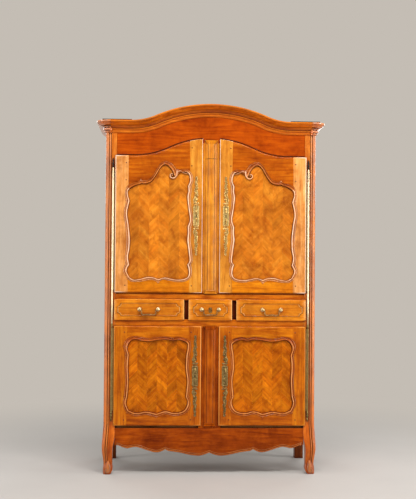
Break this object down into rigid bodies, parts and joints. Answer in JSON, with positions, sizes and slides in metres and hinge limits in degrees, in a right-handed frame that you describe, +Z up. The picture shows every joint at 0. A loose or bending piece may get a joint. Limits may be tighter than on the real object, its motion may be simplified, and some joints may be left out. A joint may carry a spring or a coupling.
{
  "type": "four-door cupboard with drawers",
  "caption": "Tall carved cupboard: arched cornice, upper and lower pairs of panelled doors, a row of drawers between them, long hinge rods and short curved legs.",
  "frame": {"origin": "on the floor, under the middle of the bounding box", "axes": "+Z up, +X to the right of someone facing the doors, the doors face -Y"},
  "size_m": [1.496, 0.65, 2.3999],
  "materials": {
    "upper_door_wood": "waxed",
    "lower_door_wood": "waxed",
    "parquetry_wood": "waxed",
    "drawer_wood": "waxed",
    "cornice_wood": "waxed",
    "rail_wood": "waxed",
    "apron_wood": "waxed",
    "post_wood": "waxed",
    "centre_wood": "waxed",
    "dark_wood": "waxed",
    "side_wood": "waxed",
    "inner_wood": "waxed",
    "escutcheon_brass": "polished, worn",
    "barrel_brass": "polished",
    "barrel_bronze": "dull",
    "rod_metal": "worn",
    "handle_bronze": "dull",
    "lock_iron": "oiled"
  },
  "bodies": {
    "carcass": {"post_front_left": "post_wood", "post_front_right": "post_wood", "posts_rear": "dark_wood", "frieze_rail": "cornice_wood", "cornice_front": "cornice_wood", "cornice_sides": "cornice_wood", "drawer_rail_upper": "rail_wood", "drawer_rail_lower": "rail_wood", "drawer_dividers": "dark_wood", "centre_post_upper": "centre_wood", "centre_post_lower": "centre_wood", "apron": "apron_wood", "side_rails": "side_wood", "side_panels": "side_wood", "back": "inner_wood", "floor_boards": "inner_wood", "shelves": "inner_wood", "bearers": "inner_wood", "roof_boards": "inner_wood", "hinge_rods": "rod_metal"},
    "door_upper_left": {"door_upper_left_stiles": "upper_door_wood", "door_upper_left_rails": "upper_door_wood", "door_upper_left_panel": "parquetry_wood", "door_upper_left_escutcheon": "escutcheon_brass", "door_upper_left_hinge_barrel": "barrel_brass", "door_upper_left_lock_case": "lock_iron"},
    "door_upper_left_bolt": {"door_upper_left_bolt": "lock_iron"},
    "door_upper_right": {"door_upper_right_stiles": "upper_door_wood", "door_upper_right_rails": "upper_door_wood", "door_upper_right_panel": "parquetry_wood", "door_upper_right_escutcheon": "escutcheon_brass", "door_upper_right_hinge_barrel": "barrel_brass", "door_upper_right_lock_case": "lock_iron"},
    "door_upper_right_bolt": {"door_upper_right_bolt": "lock_iron"},
    "door_lower_left": {"door_lower_left_stiles": "lower_door_wood", "door_lower_left_rails": "lower_door_wood", "door_lower_left_panel": "parquetry_wood", "door_lower_left_escutcheon": "escutcheon_brass", "door_lower_left_hinge_barrel": "barrel_bronze", "door_lower_left_lock_case": "lock_iron"},
    "door_lower_left_bolt": {"door_lower_left_bolt": "lock_iron"},
    "door_lower_right": {"door_lower_right_stiles": "lower_door_wood", "door_lower_right_rails": "lower_door_wood", "door_lower_right_panel": "parquetry_wood", "door_lower_right_escutcheon": "escutcheon_brass", "door_lower_right_hinge_barrel": "barrel_bronze", "door_lower_right_lock_case": "lock_iron"},
    "door_lower_right_bolt": {"door_lower_right_bolt": "lock_iron"},
    "drawer_left": {"drawer_left_front": "drawer_wood", "drawer_left_box": "inner_wood", "drawer_left_handle_posts": "handle_bronze"},
    "drawer_left_bail": {"drawer_left_bail": "handle_bronze"},
    "drawer_middle": {"drawer_middle_front": "drawer_wood", "drawer_middle_box": "inner_wood", "drawer_middle_handle_posts": "handle_bronze"},
    "drawer_middle_bail": {"drawer_middle_bail": "handle_bronze"},
    "drawer_right": {"drawer_right_front": "drawer_wood", "drawer_right_box": "inner_wood", "drawer_right_handle_posts": "handle_bronze"},
    "drawer_right_bail": {"drawer_right_bail": "handle_bronze"}
  },
  "joints": [
    {"name": "door_upper_left_hinge", "type": "hinge", "parent": "carcass", "child": "door_upper_left", "pos_m": [-0.638, -0.273, 1.5475], "axis": [0, 0, 1], "range_deg": [-170, 0]},
    {"name": "door_upper_left_bolt_slide", "type": "slide", "parent": "door_upper_left", "child": "door_upper_left_bolt", "axis": [1, 0, 0], "range_m": [0, 0.012]},
    {"name": "door_upper_right_hinge", "type": "hinge", "parent": "carcass", "child": "door_upper_right", "pos_m": [0.638, -0.273, 1.5475], "axis": [0, 0, 1], "range_deg": [0, 170]},
    {"name": "door_upper_right_bolt_slide", "type": "slide", "parent": "door_upper_right", "child": "door_upper_right_bolt", "axis": [-1, 0, 0], "range_m": [0, 0.012]},
    {"name": "door_lower_left_hinge", "type": "hinge", "parent": "carcass", "child": "door_lower_left", "pos_m": [-0.638, -0.273, 0.675], "axis": [0, 0, 1], "range_deg": [-170, 0]},
    {"name": "door_lower_left_bolt_slide", "type": "slide", "parent": "door_lower_left", "child": "door_lower_left_bolt", "axis": [1, 0, 0], "range_m": [0, 0.012]},
    {"name": "door_lower_right_hinge", "type": "hinge", "parent": "carcass", "child": "door_lower_right", "pos_m": [0.638, -0.273, 0.675], "axis": [0, 0, 1], "range_deg": [0, 170]},
    {"name": "door_lower_right_bolt_slide", "type": "slide", "parent": "door_lower_right", "child": "door_lower_right_bolt", "axis": [-1, 0, 0], "range_m": [0, 0.012]},
    {"name": "drawer_left_slide", "type": "slide", "parent": "carcass", "child": "drawer_left", "axis": [0, -1, 0], "range_m": [0, 0.38]},
    {"name": "drawer_left_bail_hinge", "type": "hinge", "parent": "drawer_left", "child": "drawer_left_bail", "pos_m": [-0.4, -0.292, 1.066], "axis": [-1, 0, 0], "range_deg": [0, 95]},
    {"name": "drawer_middle_slide", "type": "slide", "parent": "carcass", "child": "drawer_middle", "axis": [0, -1, 0], "range_m": [0, 0.38]},
    {"name": "drawer_middle_bail_hinge", "type": "hinge", "parent": "drawer_middle", "child": "drawer_middle_bail", "pos_m": [0, -0.292, 1.066], "axis": [-1, 0, 0], "range_deg": [0, 95]},
    {"name": "drawer_right_slide", "type": "slide", "parent": "carcass", "child": "drawer_right", "axis": [0, -1, 0], "range_m": [0, 0.38]},
    {"name": "drawer_right_bail_hinge", "type": "hinge", "parent": "drawer_right", "child": "drawer_right_bail", "pos_m": [0.4, -0.292, 1.066], "axis": [-1, 0, 0], "range_deg": [0, 95]}
  ]
}
